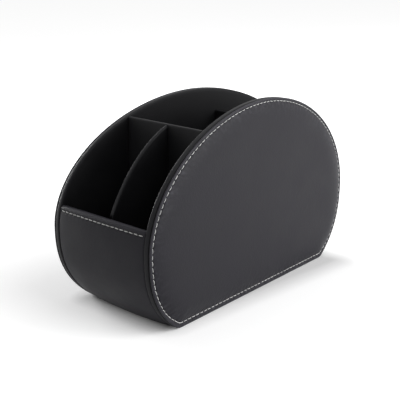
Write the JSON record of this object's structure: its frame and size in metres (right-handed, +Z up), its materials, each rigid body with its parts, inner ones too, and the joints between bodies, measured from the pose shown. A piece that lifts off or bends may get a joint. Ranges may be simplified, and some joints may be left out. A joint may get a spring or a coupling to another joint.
{
  "type": "remote control organizer",
  "caption": "Free-standing leatherette caddy with two oval side panels on a flat foot, a low curved front wall and upright dividers inside an open top.",
  "frame": {"origin": "centre of the overall box, at the height of the surface that the organizer stands on", "axes": "+Z up, X along the length with the low front lip at -X, Y across it"},
  "size_m": [0.2504, 0.1036, 0.1468],
  "materials": {
    "black_leatherette": "pebbled, satin",
    "lining_leatherette": "smooth, matte",
    "greyboard": "matte",
    "foam_padding": "matte",
    "black_felt": "napped",
    "white_thread": "twisted thread"
  },
  "bodies": {
    "root": {"right_side_lining": "lining_leatherette", "right_side_board": "greyboard", "right_side_foam": "foam_padding", "right_side_cover": "black_leatherette", "right_side_stitching": "white_thread", "left_side_lining": "lining_leatherette", "left_side_board": "greyboard", "left_side_foam": "foam_padding", "left_side_cover": "black_leatherette", "left_side_stitching": "white_thread", "front_wall_cover": "black_leatherette", "front_wall_foam": "foam_padding", "front_wall_board": "greyboard", "front_wall_lining": "lining_leatherette", "front_lip_stitching": "white_thread", "rear_wall_cover": "black_leatherette", "rear_wall_foam": "foam_padding", "rear_wall_board": "greyboard", "rear_wall_lining": "lining_leatherette", "rear_lip_stitching": "white_thread", "base_sole": "black_felt", "base_board": "greyboard", "floor_felt": "black_felt", "front_cross_divider_board": "greyboard", "front_cross_divider_wrap": "lining_leatherette", "rear_cross_divider_board": "greyboard", "rear_cross_divider_wrap": "lining_leatherette", "front_long_divider_board": "greyboard", "front_long_divider_wrap": "lining_leatherette", "middle_long_divider_board": "greyboard", "middle_long_divider_wrap": "lining_leatherette"}
  },
  "joints": []
}
